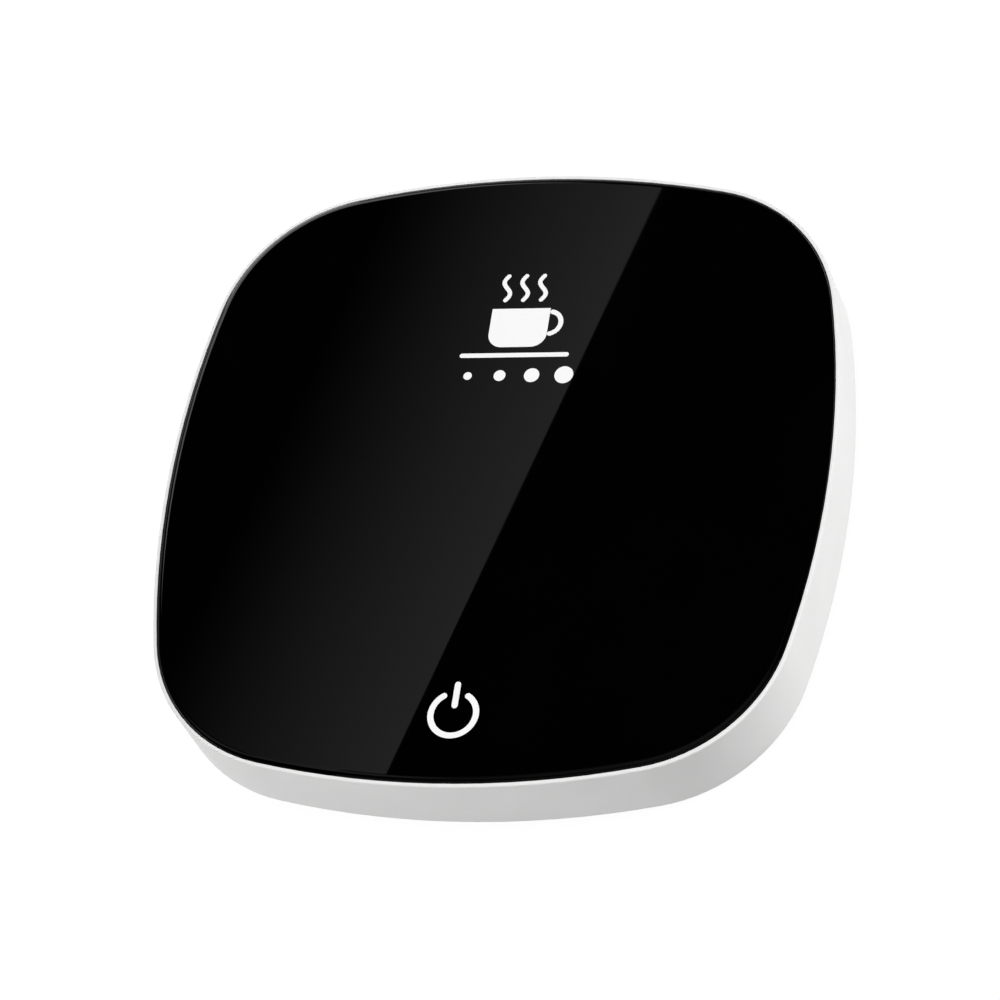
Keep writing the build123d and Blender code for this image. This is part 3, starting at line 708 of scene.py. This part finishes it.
def floor_white():
    """Plain pale paper: it shows as white, keeps the object's shadow, and lights the object dimly."""
    material, graph = stage_material("floor_white")
    path = graph.add("ShaderNodeLightPath").outputs
    seen = graph.most(path["Is Camera Ray"], path["Is Glossy Ray"], path["Is Transmission Ray"])
    paper = graph.add("ShaderNodeBsdfDiffuse", Color=grey(0.4))
    dim_paper = graph.add("ShaderNodeBsdfDiffuse", Color=grey(0.1))
    glow = graph.add("ShaderNodeEmission", Color=grey(0.93), Strength=1.0)
    shown = graph.add("ShaderNodeAddShader", i0=dim_paper.outputs[0], i1=glow.outputs[0])
    both = graph.add("ShaderNodeMixShader", i0=seen, i1=paper.outputs[0], i2=shown.outputs[0])
    graph.add("ShaderNodeOutputMaterial", Surface=both.outputs[0])
    return material


disc = bmesh.new()
bmesh.ops.create_circle(disc, cap_ends=True, segments=96, radius=FLOOR_R)
disc.transform(Matrix.Translation((0, 0, -FLOOR_DROP)))
floor_mesh = bpy.data.meshes.new("floor")
disc.to_mesh(floor_mesh)
disc.free()
add_stage("floor", floor_mesh, floor_white())

# A dim card overhead: its edge draws the slanting line across the glass, and its glow fades to the left.
CARD_H = 1.0
LINE_ENDS = ((-0.0098, -0.0568), (0.0222, 0.0557))  # on the glass, front end first
FADE_ENDS = ((-0.0571, -0.0575), (-0.0269, 0.0572))
CARD_LEVEL = 0.36
CARD_FALL = 1.2
APRON = Vector((-0.022, -0.28, 0))  # what the glass's ground front edge mirrors
OVERHANG = 0.6  # how far the card runs on past the rear end


def mirrored(x, y, height):
    """Where the camera's ray to a point of the glass lands, after the mirror, on a level at that height."""
    ray = Vector((x, y, GLASS_Z)) - CAMERA_AT
    return Vector((x, y, 0)) + ray.xy.to_3d() * ((height - GLASS_Z) / -ray.z)


def card_glow():
    """Light that fades from the card's edge to its far side."""
    material, graph = stage_material("card_glow")
    across = graph.split(graph.add("ShaderNodeUVMap", {"uv_map": "fade"}).outputs[0])[0]
    level = graph.times(graph.math("POWER", across, CARD_FALL), CARD_LEVEL)
    light = graph.add("ShaderNodeEmission", Color=grey(1), Strength=level)
    graph.add("ShaderNodeOutputMaterial", Surface=light.outputs[0])
    return material


def overhead_card():
    corners = []
    for ends in (LINE_ENDS, FADE_ENDS):
        near, far = [mirrored(*end, CARD_H) for end in ends]
        corners += [near + APRON, near, far + (far - near) * OVERHANG]
    mesh = bpy.data.meshes.new("overhead_card")
    mesh.from_pydata(corners, [], [(0, 1, 4, 3), (1, 2, 5, 4)])
    mesh.transform(Matrix.Translation((0, 0, CARD_H)))
    fade = mesh.uv_layers.new(name="fade")
    for corner, spot in zip(mesh.loops, fade.data):
        spot.uv = (1.0 if corner.vertex_index < 3 else 0.0, 0.5)
    add_stage("overhead_card", mesh, card_glow(), only_mirrored=True)


overhead_card()

# A dark card round the front of the floor: it keeps the glass's ground edge black.
FLAG_FROM = -165
FLAG_STEP = 9
FLAG_PARTS = 30
FLAG_RADII = (0.088, 13.0)
FLAG_H = 0.1 * MM


def front_flag():
    material, graph = stage_material("flag_black")
    cloth = graph.add("ShaderNodeBsdfDiffuse", Color=grey(0.01))
    graph.add("ShaderNodeOutputMaterial", Surface=cloth.outputs[0])
    turns = [radians(FLAG_FROM + FLAG_STEP * i) for i in range(FLAG_PARTS + 1)]
    points = [(r * cos(a), r * sin(a), FLAG_H) for a in turns for r in FLAG_RADII]
    mesh = bpy.data.meshes.new("front_flag")
    mesh.from_pydata(points, [], [(2 * i, 2 * i + 1, 2 * i + 3, 2 * i + 2) for i in range(FLAG_PARTS)])
    add_stage("front_flag", mesh, material, only_mirrored=True)


front_flag()


# ---------------------------------------------------------------- sky and lamps
def studio_sky():
    """A plain soft light; the camera sees white, and gloss sees white low down and dark overhead."""
    world = bpy.data.worlds.new("studio")
    scene.world = world
    world.use_nodes = True
    graph = Nodes(world.node_tree)
    path = graph.add("ShaderNodeLightPath").outputs
    way = graph.add("ShaderNodeTexCoord").outputs["Generated"]
    x, y, up = graph.split(way)

    def towards(heading):
        dot = graph.add("ShaderNodeVectorMath", {"operation": "DOT_PRODUCT"}, i0=way, i1=heading)
        return dot.outputs["Value"]

    soft = graph.ramp(towards((0.8, -0.6, 0)), -1.0, 1.0, 0.08, 0.2)
    low_down = graph.ramp(up, 0.1, 0.55, 1.0, 0.0)
    at_rear = graph.ramp(towards((-0.77, 0.64, 0)), 0.5, 0.95, 0.12, 1.0)
    zenith = graph.ramp(up, 0.9, 1.0, 0.0, 0.16)
    mirror_sky = graph.math("ADD", graph.times(low_down, at_rear), zenith)
    beside = graph.times(  # a glint along the glass's front left edge
        graph.ramp(x, -0.31, -0.36),
        graph.ramp(y, 0.24, 0.16),
        graph.ramp(y, -0.12, 0.0),
        graph.ramp(up, 0.7, 0.8, 0.0, 0.28),
    )
    mirror_sky = graph.math("ADD", mirror_sky, beside)
    mirror_sees = graph.most(path["Is Glossy Ray"], path["Is Transmission Ray"])
    sky = graph.blend(mirror_sees, soft, mirror_sky)
    sky = graph.blend(path["Is Camera Ray"], sky, grey(1))
    back = graph.add("ShaderNodeBackground", Color=sky, Strength=1.0)
    graph.add("ShaderNodeOutputWorld", Surface=back.outputs[0])


LAMP_DISTANCE = 1.7


def area_lamp(name, azimuth, elevation, size, share):
    """A soft square lamp; `share` is the part of full white that it gives a surface facing it."""
    lamp = bpy.data.lights.new(name, "AREA")
    lamp.size = size
    lamp.energy = share * (pi * LAMP_DISTANCE) ** 2
    holder = bpy.data.objects.new(name, lamp)
    scene.collection.objects.link(holder)
    towards = direction(azimuth, elevation)
    holder.location = towards * LAMP_DISTANCE
    holder.rotation_mode = "QUATERNION"
    holder.rotation_quaternion = (-towards).to_track_quat("-Z", "Y")
    holder.visible_glossy = False
    return holder


def mirrored_strip():
    """A tall lamp that only reflections see: it greys the far edge of the glass."""
    strip = area_lamp("rear_strip", 129, 25, 0.75, 0.2)
    strip.visible_glossy = True
    strip.visible_diffuse = False
    strip.data.shape = "RECTANGLE"
    strip.data.size_y = 1.5


studio_sky()
area_lamp("key_lamp", 20, 29, 0.8, 0.84)
area_lamp("front_lamp", -130, 42, 0.9, 0.6)
area_lamp("rear_lamp", 135, 15, 1.2, 0.2)
area_lamp("top_lamp", -70, 76, 0.8, 0.095)
mirrored_strip()
